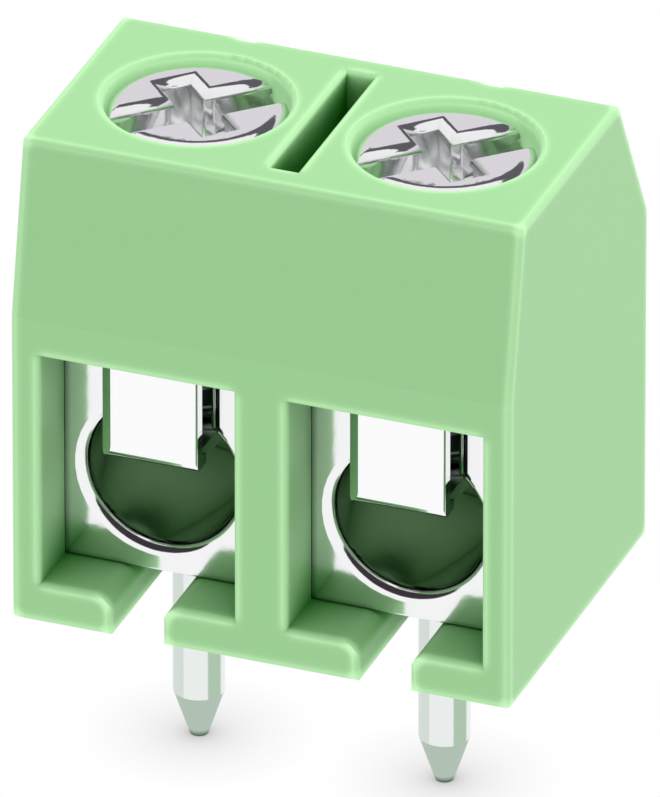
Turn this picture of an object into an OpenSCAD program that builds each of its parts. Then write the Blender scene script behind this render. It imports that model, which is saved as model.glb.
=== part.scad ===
// Two-pole screw terminal for a printed circuit board, with a wire protector in each pole.
// Origin: midway between the two solder pins, on the underside of the housing.
// +X runs along the poles, +Y runs from the wire entries to the back, +Z is up from the board.

/* [Poles] */
// Distance between the two solder pins
pitch = 5.0; // [4.8:0.05:5.6]

/* [Housing] */
// Wall left beside each outer window
end_wall = 0.57; // [0.4:0.01:1.2]
// Length from the front face to the back face
housing_l = 7.38; // [7:0.02:9]
// Height above the board
housing_h = 10.0; // [9.8:0.1:12]
// Height at which the front face starts to lean back
front_bend_h = 6.48; // [6:0.02:8]
// Distance that the front face has leaned back at the top
front_lean = 0.64; // [0.2:0.02:1]
// Length of the slope between the top and the back face
back_slope_l = 1.51; // [0.8:0.01:1.8]
// Height of the slope between the top and the back face
back_slope_h = 2.87; // [1.5:0.01:4]
// Rounding of the outer edges
edge_r = 0.1; // [0.05:0.01:0.2]
// Rounding of the edges round each window, slot and screw hole
lip_r = 0.09; // [0.04:0.01:0.14]

/* [Windows] */
// Width of each wire window
window_w = 3.93; // [3.8:0.01:4]
// Height of each wire window
window_h = 4.9; // [4.8:0.02:5.6]
// Thickness of the floor below each window
floor_t = 0.83; // [0.6:0.01:1.2]
// Depth from the front face to the metal in the window
window_recess = 1.3; // [1.2:0.05:1.7]
// Rounding of the floor beside the slot that the pin slides in through
floor_slot_r = 0.35; // [0.1:0.05:0.5]
// Thickness of the front wall that the protector's flap slides up behind
lintel_t = 0.49; // [0.4:0.01:0.5]

/* [Top slot] */
// Width of the slot between the two screws
top_slot_w = 0.57; // [0.3:0.01:0.7]
// Length of the slot between the two screws
top_slot_l = 4.06; // [3:0.02:4.4]
// Depth of the slot between the two screws
top_slot_depth = 4.0; // [1:0.1:5]
// Distance from the pin axes forward to the front end of the slot
top_slot_front = 1.98; // [1.6:0.02:2.1]

/* [Back grooves] */
// Width of the groove down the back slope behind each pole
back_groove_w = 0.42; // [0.3:0.02:1]
// Depth of the groove down the back slope
back_groove_depth = 0.13; // [0.05:0.01:0.3]

/* [Clamp body] */
// Width of the metal block, which snaps in behind the sides of its window
clamp_w = 4.0; // [3.9:0.01:4.1]
// Length of the metal block along the wire
clamp_l = 3.9; // [3.6:0.05:4.2]
// Diameter of the bore that takes the wire
bore_d = 3.0; // [2.7:0.02:3.1]
// Metal left between the bore and the underside of the block
bore_floor = 0.56; // [0.45:0.01:0.8]
// Rounding of the bore's mouth
bore_lip_r = 0.25; // [0.05:0.01:0.26]
// Width of the slot above the bore that the protector runs in
clamp_slot_w = 1.88; // [1.6:0.02:2]
// Rounding of the slot's front edges
clamp_slot_r = 0.25; // [0.05:0.01:0.26]
// Rounding of the block's upright edges and of its lower front edge
clamp_edge_r = 0.05; // [0.03:0.01:0.12]

/* [Wire protector] */
// Width of the flap in front of the block
flap_w = 2.0; // [1.9:0.01:2.3]
// Height of the flap
flap_h = 3.99; // [3.4:0.01:4.01]
// Thickness of the strip
strip_t = 0.3; // [0.2:0.01:0.35]
// Inside radius of the bend at the foot of the flap
bend_r = 0.12; // [0.03:0.01:0.15]
// Outside radius of the same bend
bend_outer_r = 0.4; // [0.1:0.01:0.45]
// Bevel of the flap's left front edge
flap_bevel = 0.26; // [0.05:0.01:0.28]
// Rounding of the flap's right front edge
flap_edge_r = 0.06; // [0.03:0.01:0.25]
// Rounding of the flap's corners
flap_corner_r = 0.12; // [0.05:0.01:0.25]
// Gap between the flap and the block
flap_gap = 0.43; // [0.3:0.01:0.45]
// Height left for the wire below the protector when the screw is fully open
wire_gap = 2.01; // [1.9:0.01:2.3]
// Distance that the leg reaches past the screw axis
leg_reach = 1.15; // [0.8:0.05:1.3]

/* [Screw] */
// Nominal diameter of the thread
thread_d = 3.0; // [2.6:0.1:3]
// Diameter of the head
head_d = 3.48; // [3.3:0.02:3.7]
// Height of the head
head_h = 1.95; // [1.5:0.05:2.1]
// Distance that the open screw's head sits below the top of the housing
head_sink = 0.12; // [0.05:0.01:0.5]
// Rounding of the head's top edge
head_edge_r = 0.3; // [0.1:0.01:0.35]
// Width of the slot across the head
drive_slot_w = 0.78; // [0.5:0.02:0.9]
// Width of the arm that crosses the slot
drive_cross_w = 0.62; // [0.5:0.02:0.9]
// Length of the arm that crosses the slot
drive_cross_l = 2.14; // [1.8:0.02:2.3]
// Depth of the slot
drive_slot_depth = 0.9; // [0.5:0.02:1]
// Depth of the arm
drive_cross_depth = 1.15; // [0.8:0.05:1.3]
// Rounding of the edges of the slot and of the arm
drive_edge_r = 0.2; // [0.05:0.01:0.25]
// Diameter of the pit where the slot and the arm cross
drive_pit_d = 1.3; // [0.9:0.05:1.4]
// Depth of the pit's cone below the arm
drive_pit_depth = 0.3; // [0.1:0.05:0.4]
// Angle of the slot from the +X axis
drive_turn = 44; // [0:1:90]
// Chamfer at the screw's tip
tip_chamfer = 0.32; // [0.1:0.02:0.5]

/* [Solder pin] */
// Diameter of the pin
pin_d = 1.0; // [0.98:0.02:1.2]
// Length of the pin below the housing
pin_l = 3.69; // [3:0.05:5]
// Length of the cone at the pin's end
pin_cone_l = 0.96; // [0.4:0.02:1.5]
// Diameter of the pin's flat tip
pin_tip_d = 0.36; // [0.2:0.02:0.6]
// Diameter of the neck that passes through the housing's floor
pin_neck_d = 0.92; // [0.7:0.02:0.94]
// Length of the neck that is riveted into the block
pin_root = 0.4; // [0.2:0.02:0.42]

/* [Clearances] */
// Gap between the metal block and the walls of its chamber
clamp_clearance = 0.01; // [0.01:0.005:0.06]
// Gap behind the metal block
back_clearance = 0.05; // [0.02:0.01:0.2]
// Gap between the head and the wall of its hole
head_clearance = 0.05; // [0.04:0.01:0.1]
// Gap between the screw's shank and its thread hole
thread_clearance = 0.05; // [0.02:0.01:0.08]
// Gap between the pin and the floor slot
pin_clearance = 0.03; // [0.02:0.01:0.1]
// Gap between the leg and the sides of the slot that it runs in
leg_clearance = 0.07; // [0.04:0.01:0.1]
// Gap round the flap in its pocket
flap_clearance = 0.08; // [0.06:0.01:0.15]
// Gap between the screw's tip and the leg
tip_gap = 0.02; // [0.01:0.01:0.05]

/* [Hidden] */

// How far a cut runs on past the surface that it opens
cut = 0.5;
// Facets of a full circle, and of the small balls at the housing's corners
$fn = 96;
ball_fn = 24;
// Steps round a window's rounded lip
lip_steps = 5;

// Sides of a pole, as the sign of its place along X
left = -1;
right = 1;

// Housing
housing_w = pitch + window_w + 2 * end_wall;
front_y = -window_recess - clamp_l / 2;
back_y = front_y + housing_l;
window_top = floor_t + window_h;
head_hole_d = head_d + 2 * head_clearance;
floor_slot_w = pin_d + 2 * pin_clearance;
chamber_w = clamp_w + 2 * clamp_clearance;
chamber_back_y = clamp_l / 2 + back_clearance;

// Clamp body
clamp_top = window_top - clamp_clearance;
clamp_front_y = -clamp_l / 2;
bore_r = bore_d / 2;
bore_z = floor_t + bore_floor + bore_r;

// Wire protector
leg_z = floor_t + bore_floor + wire_gap;
leg_w = clamp_slot_w - 2 * leg_clearance;
flap_y = clamp_front_y - flap_gap - strip_t;
flap_top = leg_z + flap_h;

// Screw
head_top = housing_h - head_sink;
tip_z = leg_z + strip_t + tip_gap;
shank_r = thread_d / 2 - thread_clearance;

// Keeps what is drawn for a pole at that pole's place.
module at_pole(side) {
    translate([side * pitch / 2, 0, 0]) children();
}

// Draws a flat outline in the Y-Z plane and extrudes it along X, centred on X = 0.
module along_x(length) {
    rotate([90, 0, 90]) linear_extrude(length, center = true) children();
}

// Draws a flat outline in the X-Z plane and extrudes it along Y, from y_from to y_to.
module along_y(y_from, y_to) {
    translate([0, y_to, 0]) rotate([90, 0, 0]) linear_extrude(y_to - y_from) children();
}

// A rectangle with rounded corners, centred on the origin.
module rounded_rectangle(width, length, radius) {
    square([width - 2 * radius, length], center = true);
    square([width, length - 2 * radius], center = true);
    for (x = [-1, 1], y = [-1, 1])
        translate([x * (width / 2 - radius), y * (length / 2 - radius)]) circle(radius);
}

// The corner that is cut away when an edge at the origin is rounded: the solid lies at -X and -Y.
module rounding_cut(radius) {
    difference() {
        translate([-radius, -radius]) square(radius + cut / 4);
        translate([-radius, -radius]) circle(radius);
    }
}

// The cut that rounds the mouth of a rectangular opening in the face Z = 0, with mitred corners.
function lip_ring(width, length, out, z) = [
    for (c = [[-1, -1], [1, -1], [1, 1], [-1, 1]])
        [c[0] * (width / 2 + out), c[1] * (length / 2 + out), z]
];
module rectangular_lip(width, length, radius) {
    turns = [for (k = [0:lip_steps]) 90 * k / lip_steps];
    rings = concat(
        [lip_ring(width, length, radius, cut / 4)],
        [for (t = turns) lip_ring(width, length, radius * (1 - sin(t)), -radius * (1 - cos(t)))]
    );
    last = len(rings) - 1;
    walls = [
        for (k = [0:last - 1], c = [0:3])
            [4 * k + c, 4 * k + (c + 1) % 4, 4 * (k + 1) + (c + 1) % 4, 4 * (k + 1) + c]
    ];
    polyhedron(
        points = [for (ring = rings, p = ring) p],
        faces = concat([[3, 2, 1, 0]], walls, [[for (c = [0:3]) 4 * last + c]])
    );
}

// The cut that rounds the mouth of a round hole in the face Z = 0.
module round_lip(hole_r, radius) {
    rotate_extrude() translate([hole_r, 0]) mirror([1, 0]) rounding_cut(radius);
}

// The moulding's outer form: a block with a leaning front and a sloping back, rounded all over.
module housing_shell() {
    outline = [
        [front_y, 0],
        [front_y, front_bend_h],
        [front_y + front_lean, housing_h],
        [back_y - back_slope_l, housing_h],
        [back_y, housing_h - back_slope_h],
        [back_y, 0],
    ];
    // Each ball is enlarged so that its facets reach the true radius.
    ball_r = edge_r / cos(180 / ball_fn);
    inset = housing_w / 2 - edge_r;
    middle = [(front_y + back_y) / 2, housing_h / 2];
    hull()
        for (x = [-inset, inset], corner = outline)
            translate([
                x,
                corner[0] + (corner[0] < middle[0] ? edge_r : -edge_r),
                corner[1] + (corner[1] < middle[1] || corner[1] == front_bend_h ? 0 : -edge_r)
                    + (corner[1] == 0 ? edge_r : 0),
            ])
                sphere(ball_r, $fn = ball_fn);
}

// The room in one pole: the window and the chamber that the metal slides into,
// the pocket above the window for the flap, the screw hole and the floor slot for the pin.
module pole_room() {
    translate([-window_w / 2, front_y - cut, floor_t])
        cube([window_w, clamp_l / 2 - front_y + cut, window_h]);
    translate([-chamber_w / 2, clamp_front_y - clamp_clearance, floor_t])
        cube([chamber_w, chamber_back_y - clamp_front_y + clamp_clearance, window_h]);
    translate([0, front_y, floor_t + window_h / 2])
        rotate([90, 0, 0]) rectangular_lip(window_w, window_h, lip_r);
    flap_pocket();
    translate([0, 0, window_top - cut]) cylinder(d = head_hole_d, h = housing_h - window_top + 2 * cut);
    translate([0, 0, housing_h]) round_lip(head_hole_d / 2, lip_r);
    floor_slot();
}

// The pocket behind the lintel runs back to the screw axis, so it is open to the screw hole.
module flap_pocket() {
    pocket_w = flap_w + 2 * flap_clearance;
    pocket_front = front_y + lintel_t;
    pocket_top = flap_top + flap_clearance;
    translate([-pocket_w / 2, pocket_front, window_top - cut])
        cube([pocket_w, -pocket_front, pocket_top - window_top + cut]);
}

// The slot that lets the pin slide in from the front, with rounded shoulders on the floor beside it.
module floor_slot() {
    translate([0, 0, -cut]) cylinder(d = floor_slot_w, h = floor_t + 2 * cut);
    along_y(front_y - cut, 0) {
        translate([-floor_slot_w / 2, -cut]) square([floor_slot_w, floor_t + 2 * cut]);
        for (side = [left, right])
            scale([side, 1]) translate([floor_slot_w / 2, floor_t])
                mirror([1, 0]) rounding_cut(floor_slot_r);
    }
    for (side = [left, right])
        scale([side, 1, 1]) translate([floor_slot_w / 2, front_y, -cut])
            mirror([1, 0, 0]) mirror([0, 1, 0])
                linear_extrude(floor_t + cut) rounding_cut(lip_r);
}

// The groove down the back slope, in line with the pole.
module back_groove() {
    slope_angle = atan(back_slope_h / back_slope_l);
    slope_run = norm([back_slope_l, back_slope_h]);
    translate([0, back_y - back_slope_l, housing_h]) rotate([-slope_angle, 0, 0])
        translate([-back_groove_w / 2, -cut, -back_groove_depth])
            cube([back_groove_w, slope_run + 2 * cut, back_groove_depth + cut]);
}

module housing() {
    color([0.62, 0.84, 0.6]) difference() {
        housing_shell();
        for (side = [left, right]) at_pole(side) {
            pole_room();
            back_groove();
        }
        translate([0, top_slot_l / 2 - top_slot_front, housing_h]) {
            translate([0, 0, cut / 2 - top_slot_depth / 2])
                cube([top_slot_w, top_slot_l, top_slot_depth + cut], center = true);
            rectangular_lip(top_slot_w, top_slot_l, lip_r);
        }
    }
}

// The plated block that carries the current: bored along the wire and tapped from above,
// with a slot from the bore to the top in which the wire protector runs.
module clamp_body() {
    color([0.82, 0.82, 0.84]) difference() {
        translate([0, 0, floor_t])
            linear_extrude(clamp_top - floor_t) rounded_rectangle(clamp_w, clamp_l, clamp_edge_r);
        translate([0, 0, bore_z]) rotate([90, 0, 0])
            cylinder(r = bore_r, h = clamp_l + 2 * cut, center = true);
        translate([0, clamp_front_y, bore_z]) rotate([90, 0, 0]) round_lip(bore_r, bore_lip_r);
        translate([0, 0, bore_z]) cylinder(d = thread_d, h = clamp_top - bore_z + cut);
        protector_slot();
        along_x(clamp_w + 2 * cut) translate([clamp_front_y, floor_t])
            rotate(180) rounding_cut(clamp_edge_r);
        translate([0, 0, floor_t - cut]) cylinder(d = pin_neck_d, h = pin_root + cut);
    }
}

module protector_slot() {
    translate([-clamp_slot_w / 2, clamp_front_y - cut, bore_z])
        cube([clamp_slot_w, -clamp_front_y + cut, clamp_top - bore_z + cut]);
    for (side = [left, right])
        scale([side, 1, 1]) translate([clamp_slot_w / 2, clamp_front_y, bore_z + bore_r / 2])
            mirror([1, 0, 0]) mirror([0, 1, 0])
                linear_extrude(clamp_top - bore_z) rounding_cut(clamp_slot_r);
}

// The bent strip: its leg lies under the screw and presses on the wire, and its flap
// stands in front of the block, so that no wire can slip in above the leg.
module wire_protector() {
    color([0.9, 0.9, 0.92]) intersection() {
        along_x(flap_w) difference() {
            translate([flap_y, leg_z]) {
                square([strip_t, flap_h]);
                square([leg_reach - flap_y, strip_t]);
                translate([strip_t, strip_t]) square(bend_r);
            }
            translate([flap_y + strip_t + bend_r, leg_z + strip_t + bend_r]) circle(bend_r);
            translate([flap_y, leg_z]) rotate(180) rounding_cut(bend_outer_r);
        }
        translate([0, 0, leg_z - cut]) linear_extrude(flap_h + 2 * cut) {
            flap_section();
            translate([-leg_w / 2, flap_y + strip_t / 2]) square([leg_w, leg_reach - flap_y]);
        }
        along_y(flap_y - cut, leg_reach + cut)
            translate([0, leg_z + flap_h / 2]) rounded_rectangle(flap_w, flap_h, flap_corner_r);
    }
}

// The flap seen from above: its left front edge is bevelled and its right one is rounded.
module flap_section() {
    difference() {
        translate([-flap_w / 2, flap_y]) square([flap_w, strip_t + flap_gap / 2]);
        translate([-flap_w / 2, flap_y]) rotate(45) square(flap_bevel * sqrt(2), center = true);
        mirror([0, 1]) translate([flap_w / 2, -flap_y]) rounding_cut(flap_edge_r);
    }
}

// The clamping screw: a cheese head with a slot and a cross arm, and a shank with a chamfered tip.
module screw() {
    color([0.86, 0.86, 0.88]) difference() {
        rotate_extrude() screw_outline();
        translate([0, 0, head_top]) rotate([0, 0, drive_turn]) drive_recess();
    }
}

module screw_outline() {
    head_r = head_d / 2;
    difference() {
        union() {
            translate([0, head_top - head_h]) square([head_r, head_h]);
            translate([0, tip_z + tip_chamfer]) square([shank_r, head_top - head_h - tip_z - tip_chamfer]);
            polygon([
                [0, tip_z],
                [shank_r - tip_chamfer, tip_z],
                [shank_r, tip_z + tip_chamfer],
                [0, tip_z + tip_chamfer],
            ]);
        }
        translate([head_r, head_top]) rounding_cut(head_edge_r);
    }
}

// The recess is cut down from Z = 0: a slot along X, an arm along Y and a pit at the crossing.
module drive_recess() {
    along_x(head_d + 2 * cut) rounded_slot(drive_slot_w, drive_slot_depth);
    intersection() {
        along_x(drive_cross_l) rounded_slot(drive_cross_l, drive_cross_depth);
        along_y(-drive_cross_l, drive_cross_l) rounded_slot(drive_cross_w, drive_cross_depth);
    }
    translate([0, 0, -drive_cross_depth - drive_pit_depth])
        cylinder(d1 = 0, d2 = drive_pit_d, h = drive_pit_depth);
    translate([0, 0, -drive_cross_depth]) cylinder(d = drive_pit_d, h = drive_cross_depth - drive_edge_r);
}

// A slot seen along its length: it is cut down from Y = 0 and its upper edges are rounded.
module rounded_slot(width, depth) {
    translate([-width / 2, -depth]) square([width, depth + cut / 4]);
    for (side = [left, right])
        scale([side, 1]) translate([width / 2, 0]) mirror([1, 0]) rounding_cut(drive_edge_r);
}

// The round pin: its thinner neck passes through the floor slot and is riveted into the block,
// and its lower end is a cone that finds the hole in the board.
module solder_pin() {
    pin_r = pin_d / 2;
    neck_r = pin_neck_d / 2;
    color([0.8, 0.82, 0.8]) rotate_extrude() polygon([
        [0, -pin_l],
        [pin_tip_d / 2, -pin_l],
        [pin_r, pin_cone_l - pin_l],
        [pin_r, 0],
        [neck_r, 0],
        [neck_r, floor_t + pin_root],
        [0, floor_t + pin_root],
    ]);
}

housing();
at_pole(left) clamp_body();  // clamp_body_left
at_pole(right) clamp_body();  // clamp_body_right
at_pole(left) wire_protector();  // wire_protector_left
at_pole(right) wire_protector();  // wire_protector_right
at_pole(left) screw();  // screw_left
at_pole(right) screw();  // screw_right
at_pole(left) solder_pin();  // solder_pin_left
at_pole(right) solder_pin();  // solder_pin_right
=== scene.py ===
import math

import bmesh
import bpy
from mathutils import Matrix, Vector


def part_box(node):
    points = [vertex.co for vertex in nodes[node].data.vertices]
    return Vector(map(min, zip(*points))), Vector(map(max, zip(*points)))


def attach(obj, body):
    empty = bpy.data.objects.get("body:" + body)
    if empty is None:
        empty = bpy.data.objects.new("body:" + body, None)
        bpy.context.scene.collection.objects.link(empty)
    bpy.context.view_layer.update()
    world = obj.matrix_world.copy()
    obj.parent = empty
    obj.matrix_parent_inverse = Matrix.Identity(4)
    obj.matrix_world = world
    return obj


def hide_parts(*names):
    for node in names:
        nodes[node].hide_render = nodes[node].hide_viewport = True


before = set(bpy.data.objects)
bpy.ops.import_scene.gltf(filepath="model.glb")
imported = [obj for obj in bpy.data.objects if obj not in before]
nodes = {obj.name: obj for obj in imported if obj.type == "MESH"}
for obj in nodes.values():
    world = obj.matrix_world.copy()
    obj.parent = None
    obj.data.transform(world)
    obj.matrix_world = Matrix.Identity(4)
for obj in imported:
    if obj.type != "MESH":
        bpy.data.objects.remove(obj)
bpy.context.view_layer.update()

# ---- Camera -----------------------------------------------------------------------------------------------------
# A very long lens stands to the right of the wire entries and above them, so that upright edges stay upright.
# Azimuth 0 is straight in front of the wire entries.
MM = 0.001
VIEW_AZIMUTH, VIEW_ELEVATION = 20.96, 28.87
VIEW_HEIGHT = 15.122 * MM
VIEW_CENTRE_RIGHT, VIEW_CENTRE_UP = 0.158 * MM, 3.549 * MM
LENS_MM, SENSOR_MM = 1350.0, 36.0
CAMERA_SEES_FROM, CAMERA_SEES_TO = 0.01, 2.0


def direction(azimuth, elevation):
    """The unit vector from the terminal towards a place at these angles, in degrees."""
    a, e = math.radians(azimuth), math.radians(elevation)
    return Vector((math.sin(a) * math.cos(e), -math.cos(a) * math.cos(e), math.sin(e)))


scene = bpy.context.scene
scene.view_settings.view_transform = "Standard"
towards_camera = direction(VIEW_AZIMUTH, VIEW_ELEVATION)
camera_right = direction(VIEW_AZIMUTH + 90, 0)
camera_up = towards_camera.cross(camera_right)
look_at = camera_right * VIEW_CENTRE_RIGHT + camera_up * VIEW_CENTRE_UP
camera_data = bpy.data.cameras.new("camera")
camera_data.lens = LENS_MM
camera_data.sensor_width = SENSOR_MM
camera_data.clip_start, camera_data.clip_end = CAMERA_SEES_FROM, CAMERA_SEES_TO
camera = bpy.data.objects.new("camera", camera_data)
scene.collection.objects.link(camera)
camera.location = look_at + towards_camera * (LENS_MM / SENSOR_MM * VIEW_HEIGHT)
camera.rotation_mode = "QUATERNION"
camera.rotation_quaternion = towards_camera.to_track_quat("Z", "Y")
scene.camera = camera


# ---- Housing ----------------------------------------------------------------------------------------------------
# One moulding of pale green polyamide. It leaves the tool with a satin skin. Its colour holds painted light: a paler
# painted highlight along its edges, painted shade that makes it much deeper in colour inside the windows and the
# slot on top, and a painted green light that it gives off along its edges and on the walls of the screw holes.
class Link:
    """A shader socket that can be used in arithmetic: each operator adds its Math node."""

    def __init__(self, socket):
        self.socket = socket
        self.tree = socket.id_data

    @staticmethod
    def node(tree, kind, inputs=(), output=0, **settings):
        """Adds a node: its settings are set first, then the values or links of its sockets."""
        made = tree.nodes.new("ShaderNode" + kind)
        for name, value in settings.items():
            setattr(made, name, value)
        for name, value in dict(inputs).items():
            if isinstance(value, Link):
                tree.links.new(value.socket, made.inputs[name])
            else:
                made.inputs[name].default_value = value
        return Link(made.outputs[output])

    def maths(self, operation, other, flip=False):
        pair = (other, self) if flip else (self, other)
        return Link.node(self.tree, "Math", dict(enumerate(pair)), operation=operation)

    def __add__(self, other):
        return self.maths("ADD", other)

    def __sub__(self, other):
        return self.maths("SUBTRACT", other)

    def __rsub__(self, other):
        return self.maths("SUBTRACT", other, flip=True)

    def __mul__(self, other):
        return self.maths("MULTIPLY", other)

    def __pow__(self, other):
        return self.maths("POWER", other)

    __radd__ = __add__
    __rmul__ = __mul__

    def clamped(self):
        return Link.node(self.tree, "Clamp", {"Value": self})

    def blend(self, low, high):
        """The colour that runs from low to high as this value runs from 0 to 1."""
        return Link.node(self.tree, "Mix", {0: self, 6: low, 7: high}, output=2, data_type="RGBA")

    def feed(self, shader, socket):
        self.tree.links.new(self.socket, shader.inputs[socket])


def new_material(name, **constants):
    material = bpy.data.materials.new(name)
    material.use_nodes = True
    shader = material.node_tree.nodes["Principled BSDF"]
    for socket, value in constants.items():
        shader.inputs[socket.replace("_", " ")].default_value = value
    return material, material.node_tree, shader


def surface_place(tree):
    """Where a point of the surface is, in metres."""
    return Link.node(tree, "TexCoord", output=3)


def height_above_board(tree):
    return Link.node(tree, "SeparateXYZ", {"Vector": surface_place(tree)}, output=2)


def fine_noise(tree, feature, detail, roughness):
    """Soft noise from 0 to 1, whose features have this size in metres."""
    place = Link.node(tree, "VectorMath", {0: surface_place(tree), 3: 1 / feature}, operation="SCALE")
    return Link.node(tree, "TexNoise", {"Vector": place, "Detail": detail, "Roughness": roughness})


def openness(tree, reach, samples=8, **settings):
    """1 in the open, and less the more there is within reach of the surface."""
    return Link.node(tree, "AmbientOcclusion", {"Distance": reach}, output=1, samples=samples, **settings)


def moulded_plastic():
    # The first colour is the plastic's own, the second is painted shade for its recesses and the third a painted
    # highlight for its edges.
    body, painted_recess_shade, painted_edge_light = (0.4, 0.765, 0.355, 1), (0.01, 0.25, 0.003, 1), (0.56, 0.93, 0.5, 1)
    # The green light that the plastic gives off is painted light.
    no_glow, painted_green_light = (0, 0, 0, 1), (0.6, 1.0, 0.55, 1)
    recess_reach, edge_reach = 1.3 * MM, 0.27 * MM
    windows_top, hole_rims_low = 5.95 * MM, 9.3 * MM
    sharp = 10 / MM  # a step in height that takes 0.1 mm
    material, tree, shader = new_material("moulded_plastic", IOR=1.42, Emission_Strength=1.0)

    height = height_above_board(tree)
    in_windows = ((windows_top - height) * sharp).clamped()
    in_hole_rims = ((height - hole_rims_low) * sharp).clamped()
    open_in_plastic = openness(tree, recess_reach, only_local=True)
    crowded = 1 - openness(tree, recess_reach, samples=12)
    # Painted shade, strongest where the plastic closes round a recess, and inside the windows also where other parts
    # crowd it.
    recess = (((0.5 - open_in_plastic) * 4.0).clamped() + ((crowded * 1.25).clamped() ** 1.5) * in_windows).clamped()
    # Painted highlight along the edges: the less solid plastic lies within reach behind the surface, the paler it
    # is.
    solid_depth = openness(tree, edge_reach, samples=12, inside=True, only_local=True)
    edge = ((1 - solid_depth) * 2.7).clamped() ** 2.0
    recess.blend(edge.blend(body, painted_edge_light), painted_recess_shade).feed(shader, "Base Color")

    # Painted light that the plastic gives off along its edges and on the walls of the screw holes near their rims,
    # but not where painted shade lies.
    painted_hole_wall_light = in_hole_rims * (crowded * 1.6).clamped() * ((open_in_plastic - 0.5) * 6).clamped()
    painted_glow = ((edge * 0.2 + painted_hole_wall_light * 0.3) * (1 - recess)).clamped()
    painted_glow.blend(no_glow, painted_green_light).feed(shader, "Emission Color")

    grain = fine_noise(tree, MM / 9, detail=3.0, roughness=0.6)
    (grain * 0.12 + 0.36).feed(shader, "Roughness")
    skin = Link.node(tree, "Bump", {"Height": grain, "Distance": 0.004 * MM, "Strength": 0.35})
    skin.feed(shader, "Normal")
    return material


def dress(piece, material):
    piece.data.materials.clear()
    piece.data.materials.append(material)


dress(nodes["housing"], moulded_plastic())


# ---- Clamp bodies -----------------------------------------------------------------------------------------------
# Brass blocks, bored for the wire, tapped for the screw and slotted for the protector, then barrel-plated with
# bright nickel. They slide into the windows from the front, and their coat is a mirror with the faintest ripple.
def bright_plating(name, colour, roughness, ripple, ripple_size, dull_and_shaded_below=None):
    """A mirror with a slight ripple, with painted shade in tight corners. Below the given height, if one is given,
    it is dull and painted dark as shade.
    """
    corner_reach, painted_corner_shade = 0.15 * MM, (0.16, 0.2, 0.17, 1)
    recess_reach = 0.9 * MM
    sharp = 5 / MM  # a step in height that takes 0.2 mm
    material, tree, shader = new_material(name, Metallic=1.0)
    waves = fine_noise(tree, ripple_size, detail=2.0, roughness=0.5)
    rough = waves * 0.04 + roughness
    # Painted shade that darkens the metal where other surfaces stand close to it.
    shaded = ((1 - openness(tree, corner_reach)) * 1.8).clamped()
    if dull_and_shaded_below is not None:
        below = ((dull_and_shaded_below - height_above_board(tree)) * sharp).clamped()
        in_recess = ((0.85 - openness(tree, recess_reach, only_local=True)) * 2.0).clamped()
        rough = rough + (below + in_recess).clamped() * 0.3
        # Painted shade: below that height the metal is painted dark, and its corner shade is halved.
        shaded = (shaded * 0.5 + below).clamped()
    shaded.blend((*colour, 1), painted_corner_shade).feed(shader, "Base Color")
    rough.feed(shader, "Roughness")
    Link.node(tree, "Bump", {"Height": waves, "Distance": ripple, "Strength": 1.0}).feed(shader, "Normal")
    return material


SIDES = ("left", "right")
nickel = bright_plating("bright_nickel", (0.9, 0.9, 0.91), 0.09, ripple=0.002 * MM, ripple_size=1.2 * MM)
for side in SIDES:
    dress(nodes[f"clamp_body_{side}"], nickel)


# ---- Wire protectors --------------------------------------------------------------------------------------------
# Strips of spring steel, blanked, bent to an L and plated bright. The leg lies between the screw and the wire, and
# the flap hangs in front of the bore, its top behind the front wall.
strip_steel = bright_plating("bright_strip", (0.96, 0.96, 0.97), 0.04, ripple=0.001 * MM, ripple_size=1.5 * MM)
for side in SIDES:
    dress(nodes[f"wire_protector_{side}"], strip_steel)


# ---- Clamping screws --------------------------------------------------------------------------------------------
# Steel screws, zinc plated and blue passivated, whose recess is struck into the head in one blow. The M3 thread is
# rolled, and it is turned into the block from above.
HEAD_H = 1.95 * MM
SHARP_EDGE = math.radians(35)
THREAD_PITCH = 0.5 * MM
THREAD_DEPTH = 0.27 * MM
THREAD_CREST_R = 1.435 * MM
THREAD_CHAMFER = 0.34 * MM
THREAD_RUNOUT = 0.5 * MM
THREAD_STEPS = 60
# One pitch of the thread: how far along it, and how far in from the crest, as a share of the thread's depth.
THREAD_FORM = ((0.0, 0.0), (0.1, 0.0), (0.3, 0.5), (0.5, 1.0), (0.62, 1.0), (0.81, 0.5))
SAME_POINT = 0.0005 * MM


def close_holes(bm):
    bmesh.ops.holes_fill(bm, edges=[edge for edge in bm.edges if edge.is_boundary])


def screw_thread(bm, axis_x, low, high):
    """Adds a closed helical thread from low to high, chamfered at its lower end and run out under the head."""
    columns = []
    for step in range(THREAD_STEPS + 1):
        turned = step / THREAD_STEPS
        angle = 2 * math.pi * turned
        column = []
        for turn in range(-1, int((high - low) / THREAD_PITCH) + 2):
            for along, inward in THREAD_FORM:
                z = min(max(low + THREAD_PITCH * (turn + along + turned), low), high)
                r = THREAD_CREST_R - max(
                    THREAD_DEPTH * inward,
                    THREAD_CHAMFER - (z - low),
                    THREAD_DEPTH * (1 - (high - z) / THREAD_RUNOUT),
                )
                column.append(bm.verts.new((axis_x + r * math.cos(angle), r * math.sin(angle), z)))
        columns.append(column)
    for here, there in zip(columns, columns[1:]):
        for k in range(len(here) - 1):
            bm.faces.new((here[k], there[k], there[k + 1], here[k + 1]))
    bmesh.ops.remove_doubles(bm, verts=bm.verts[:], dist=SAME_POINT)
    bmesh.ops.dissolve_degenerate(bm, dist=SAME_POINT, edges=bm.edges[:])
    close_holes(bm)
    bmesh.ops.recalc_face_normals(bm, faces=bm.faces[:])


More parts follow.
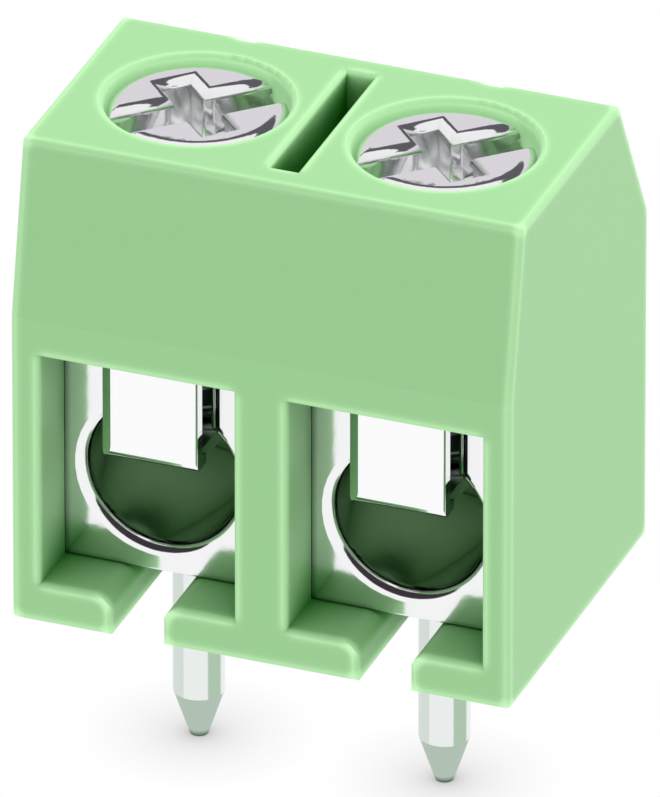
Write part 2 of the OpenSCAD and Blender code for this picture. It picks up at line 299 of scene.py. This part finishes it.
def clamping_screw(side):
    """The head as the solid has it, on a shank with a real thread that reaches a little way into the head."""
    head_cut, shank_overlap, head_same_point = 0.002 * MM, 0.01 * MM, 0.0002 * MM
    solid = nodes[f"screw_{side}"]
    low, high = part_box(f"screw_{side}")
    head_low = high.z - HEAD_H
    mesh = bpy.data.meshes.new(f"threaded_screw_{side}")

    shank = bmesh.new()
    screw_thread(shank, (low.x + high.x) / 2, low.z, head_low + shank_overlap)
    shank.to_mesh(mesh)
    shank.free()

    head = bmesh.new()
    head.from_mesh(solid.data)
    head.transform(solid.matrix_world)
    bmesh.ops.remove_doubles(head, verts=head.verts[:], dist=head_same_point)
    bmesh.ops.bisect_plane(
        head, geom=head.verts[:] + head.edges[:] + head.faces[:],
        plane_co=(0, 0, head_low + head_cut), plane_no=(0, 0, 1), clear_inner=True)
    close_holes(head)
    head.from_mesh(mesh)
    head.to_mesh(mesh)
    head.free()

    for face in mesh.polygons:
        face.use_smooth = True
    mesh.set_sharp_from_angle(angle=SHARP_EDGE)
    piece = bpy.data.objects.new(mesh.name, mesh)
    scene.collection.objects.link(piece)
    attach(piece, f"{side}_screw")
    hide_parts(f"screw_{side}")
    return piece


# Less zinc settles in the recess and on the thread below the head, so both are dull. The thread below the head is
# also painted dark, as shade inside the housing.
zinc = bright_plating(
    "bright_zinc", (0.86, 0.855, 0.872), 0.06, ripple=0.002 * MM, ripple_size=0.8 * MM, dull_and_shaded_below=7.9 * MM)
for side in SIDES:
    dress(clamping_screw(side), zinc)


# ---- Solder pins ------------------------------------------------------------------------------------------------
# Turned brass pins with a conical end and a satin coat of tin that takes the solder. Each is riveted into the
# underside of its block and comes down through the slot in the housing's floor.
tin = bright_plating("satin_tin", (0.82, 0.85, 0.83), 0.12, ripple=0.001 * MM, ripple_size=0.3 * MM)
for side in SIDES:
    dress(nodes[f"solder_pin_{side}"], tin)


# ---- Table and room ---------------------------------------------------------------------------------------------
# The pins stand on a white table in a white room. Both look white to the camera and in the plated parts, and light
# the terminal a little less than that.
TABLE_SIZE = 4.0
TABLE_GAP = 0.002 * MM
SHADOW_REACH, SHADOW_DEPTH = 2.0 * MM, 0.8
TABLE_LIGHT, ROOM_LIGHT = 0.9, 0.68


def light_level(tree, level):
    """1 for what the camera sees directly, in a mirror or through glass, and level for what lights a surface."""
    seen = [Link.node(tree, "LightPath", output=f"Is {ray} Ray") for ray in ("Camera", "Glossy", "Transmission")]
    return (seen[0] + seen[1] + seen[2]).clamped() * (1 - level) + level


def glowing_surface(name, colour, strength):
    """A material that only gives off its colour; strength is a number, or a function that adds nodes to the tree."""
    material = bpy.data.materials.new(name)
    material.use_nodes = True
    tree = material.node_tree
    tree.nodes.clear()
    out = tree.nodes.new("ShaderNodeOutputMaterial")
    level = strength(tree) if callable(strength) else strength
    Link.node(tree, "Emission", {"Color": (*colour, 1), "Strength": level}).feed(out, "Surface")
    return material


def table_light(tree):
    """A painted shadow darkens the table round the pins' tips and under the housing."""
    shadow = 1 - openness(tree, SHADOW_REACH, samples=24).clamped()
    return light_level(tree, TABLE_LIGHT) * (1 - shadow * SHADOW_DEPTH)


table_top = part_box("solder_pin_left")[0].z - TABLE_GAP
bpy.ops.mesh.primitive_plane_add(size=TABLE_SIZE, location=(0, 0, table_top))
floor = bpy.context.object
floor.name = "floor"
floor.data.materials.append(glowing_surface("white_table", (1, 1, 1), table_light))

world = bpy.data.worlds.new("studio")
scene.world = world
world.use_nodes = True
background = world.node_tree.nodes["Background"]
background.inputs["Color"].default_value = (1, 1, 1, 1)
light_level(world.node_tree, ROOM_LIGHT).feed(background, "Strength")


# ---- Lamp and cards ---------------------------------------------------------------------------------------------
# One soft lamp stands behind the terminal and high above it. Grey and black cards stand round it, outside the
# picture, for the plated parts to mirror, and they light nothing. A flag and sheets by the pins stand inside the
# picture, where the camera doesn't see them: they put painted reflections on the plated parts and light nothing
# either.
KEY_TOWARDS = Vector((0.11, 0.52, 0.85))
KEY_DISTANCE, KEY_SIZE = 0.2, 0.08
KEY_LEVEL = 0.45  # the share of full white that the lamp alone gives a surface that faces it
CARD_DISTANCE, CARD_CENTRE_H, CARD_STEPS = 0.12, 5 * MM, 24

lamp_data = bpy.data.lights.new("key", "AREA")
lamp_data.shape = "DISK"
lamp_data.size = KEY_SIZE
lamp_data.energy = KEY_LEVEL * math.pi ** 2 * KEY_DISTANCE ** 2
lamp = bpy.data.objects.new("key", lamp_data)
scene.collection.objects.link(lamp)
lamp.location = KEY_TOWARDS.normalized() * KEY_DISTANCE
lamp.rotation_mode = "QUATERNION"
lamp.rotation_quaternion = KEY_TOWARDS.to_track_quat("Z", "Y")
lamp.visible_glossy = False


def card_of_rows(name, colour, lower_row, upper_row):
    """A card between two rows of points. It gives off its colour, and only reflections show it."""
    mesh = bpy.data.meshes.new(name)
    count = len(lower_row)
    faces = [(k, k + 1, count + k + 1, count + k) for k in range(count - 1)]
    mesh.from_pydata([tuple(point) for point in (*lower_row, *upper_row)], [], faces)
    mesh.materials.append(glowing_surface(name, colour, 1.0))
    card = bpy.data.objects.new(name, mesh)
    scene.collection.objects.link(card)
    for ray in ("camera", "diffuse", "shadow", "transmission"):
        setattr(card, f"visible_{ray}", False)


def curved_card(name, colour, azimuths, elevations):
    """A card that curves round the terminal, between two azimuths and two elevations in degrees."""
    centre = Vector((0, 0, CARD_CENTRE_H))
    start, end = azimuths
    card_of_rows(name, colour, *(
        [direction(start + (end - start) * k / CARD_STEPS, elevation) * CARD_DISTANCE + centre
         for k in range(CARD_STEPS + 1)]
        for elevation in elevations))


def flat_card(name, colour, low, high):
    """A rectangular card between two opposite corners that share one coordinate."""
    across, along = (axis for axis in range(3) if low[axis] != high[axis])
    rows = []
    for row_end in (low, high):
        row = [Vector(low), Vector(low)]
        row[1][across] = high[across]
        for point in row:
            point[along] = row_end[along]
        rows.append(row)
    card_of_rows(name, colour, *rows)


curved_card("back_grey_card", (0.79, 0.76, 0.8), azimuths=(100, 260), elevations=(4, 33))
curved_card("back_dark_card", (0.12, 0.115, 0.13), azimuths=(130, 240), elevations=(34, 54))
curved_card("side_dark_card", (0.1, 0.1, 0.11), azimuths=(50, 95), elevations=(34, 43))
# The flag lies level below the screw heads, in front of the terminal where the camera doesn't see it, and puts a
# painted dark reflection on the lower lips of the bores only.
flat_card("painted_reflection_flag", (0.045, 0.036, 0.045), Vector((-30, -30, 9.5)) * MM, Vector((30, -3.7, 9.5)) * MM)
# Beside and under each pin stand sheets that only reflections show: painted green and grey reflections on its two
# sides, and a painted reflection of shade on the table under its tip.
for side in SIDES:
    pin_low, pin_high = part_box(f"solder_pin_{side}")
    foot = Vector(((pin_low.x + pin_high.x) / 2, 0, pin_low.z))
    card_h = -0.2 - pin_low.z / MM
    for name, colour, low, high in (
        ("painted_green_reflection", (0.5, 0.64, 0.5), (1.6, -1.1, 0), (1.6, 0.9, card_h)),
        ("painted_grey_reflection", (0.78, 0.83, 0.79), (-1.5, -1.6, 0), (-1.5, 2.0, card_h)),
        ("painted_tip_shade_reflection", (0.52, 0.62, 0.54), (-1.2, -1.2, 0.01), (1.2, 1.2, 0.01)),
    ):
        flat_card(f"{name}_{side}", colour, foot + Vector(low) * MM, foot + Vector(high) * MM)
